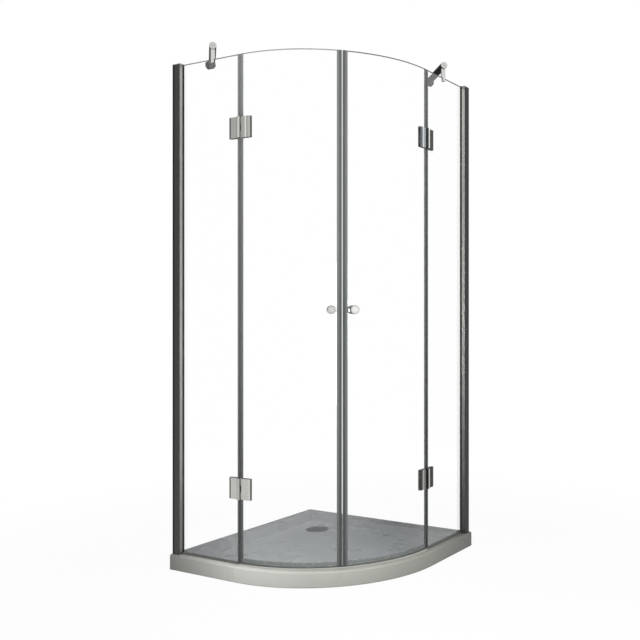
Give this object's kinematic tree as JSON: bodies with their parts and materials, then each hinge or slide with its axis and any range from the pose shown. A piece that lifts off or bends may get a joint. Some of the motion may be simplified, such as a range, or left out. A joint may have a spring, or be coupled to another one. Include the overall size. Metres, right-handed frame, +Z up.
{
  "type": "quadrant shower enclosure",
  "caption": "Corner shower enclosure with a curved low tray, fixed glass side panes and two outward-opening curved glass doors on pivot hinges.",
  "frame": {"origin": "middle of the tray's square plan, on the floor", "axes": "+Z up; the left wall is at -X, the back wall at +Y, and the curved front with the doors faces +X and -Y"},
  "size_m": [0.9, 0.9, 2.097],
  "materials": {
    "tray_acrylic": "glossy cast acrylic-faced resin",
    "satin_aluminium": "satin anodised",
    "satin_nickel": "satin nickel plate",
    "chrome": "polished chrome plate",
    "steel": "stainless",
    "clear_glass": "clear toughened 6 mm",
    "clear_seal": "translucent grey-green soft PVC",
    "clear_gasket": "thin translucent pad",
    "grey_gasket": "dark grey glazing gasket",
    "magnet": "dark flexible magnet",
    "black_rubber": "matt",
    "waste_plastic": "light grey moulding",
    "drain_grey": "dark grey satin moulding"
  },
  "bodies": {
    "enclosure": {"shower_tray": "tray_acrylic", "threshold_strip": "satin_aluminium", "waste_body": "waste_plastic", "waste_seal": "black_rubber", "waste_backnut": "waste_plastic", "hinge_frame_clamps": "satin_nickel", "hinge_frame_gaskets": "clear_gasket", "hinge_frame_screws": "steel", "hinge_pins": "steel", "profile_lock_screws": "steel", "support_grub_screws": "steel", "wall_channel_left": "satin_aluminium", "glazing_profile_left": "satin_aluminium", "profile_cap_left": "satin_aluminium", "panel_gasket_left": "grey_gasket", "fixed_glass_left": "clear_glass", "panel_bottom_seal_left": "grey_gasket", "panel_edge_seal_left": "clear_seal", "support_clamp_left": "chrome", "support_bar_left": "chrome", "support_flange_left": "chrome", "hinge_frame_leaf_upper_left": "satin_nickel", "hinge_frame_leaf_lower_left": "satin_nickel", "wall_channel_right": "satin_aluminium", "glazing_profile_right": "satin_aluminium", "profile_cap_right": "satin_aluminium", "panel_gasket_right": "grey_gasket", "fixed_glass_right": "clear_glass", "panel_bottom_seal_right": "grey_gasket", "panel_edge_seal_right": "clear_seal", "support_clamp_right": "chrome", "support_bar_right": "chrome", "support_flange_right": "chrome", "hinge_frame_leaf_upper_right": "satin_nickel", "hinge_frame_leaf_lower_right": "satin_nickel"},
    "left_door": {"door_glass_left": "clear_glass", "magnet_seal_left": "clear_seal", "magnet_strip_left": "magnet", "hinge_edge_seal_left": "clear_seal", "door_bottom_seal_left": "clear_seal", "door_knobs_left": "chrome", "knob_stud_left": "steel", "hinge_door_leaf_upper_left": "satin_nickel", "hinge_door_leaf_lower_left": "satin_nickel", "hinge_door_clamps_left": "satin_nickel", "hinge_door_gaskets_left": "clear_gasket", "hinge_door_screws_left": "steel"},
    "right_door": {"door_glass_right": "clear_glass", "magnet_seal_right": "clear_seal", "magnet_strip_right": "magnet", "hinge_edge_seal_right": "clear_seal", "door_bottom_seal_right": "clear_seal", "door_knobs_right": "chrome", "knob_stud_right": "steel", "hinge_door_leaf_upper_right": "satin_nickel", "hinge_door_leaf_lower_right": "satin_nickel", "hinge_door_clamps_right": "satin_nickel", "hinge_door_gaskets_right": "clear_gasket", "hinge_door_screws_right": "steel"},
    "drain_cover": {"drain_cover": "drain_grey"}
  },
  "joints": [
    {"name": "left_door_hinge", "type": "hinge", "parent": "enclosure", "child": "left_door", "pos_m": [-0.105, -0.428, 1.05], "axis": [0, 0, -1], "range_deg": [0, 100]},
    {"name": "right_door_hinge", "type": "hinge", "parent": "enclosure", "child": "right_door", "pos_m": [0.428, 0.105, 1.05], "axis": [0, 0, 1], "range_deg": [0, 100]},
    {"name": "drain_cover_lift", "type": "slide", "parent": "enclosure", "child": "drain_cover", "axis": [0, 0, 1], "range_m": [0, 0.06]}
  ]
}
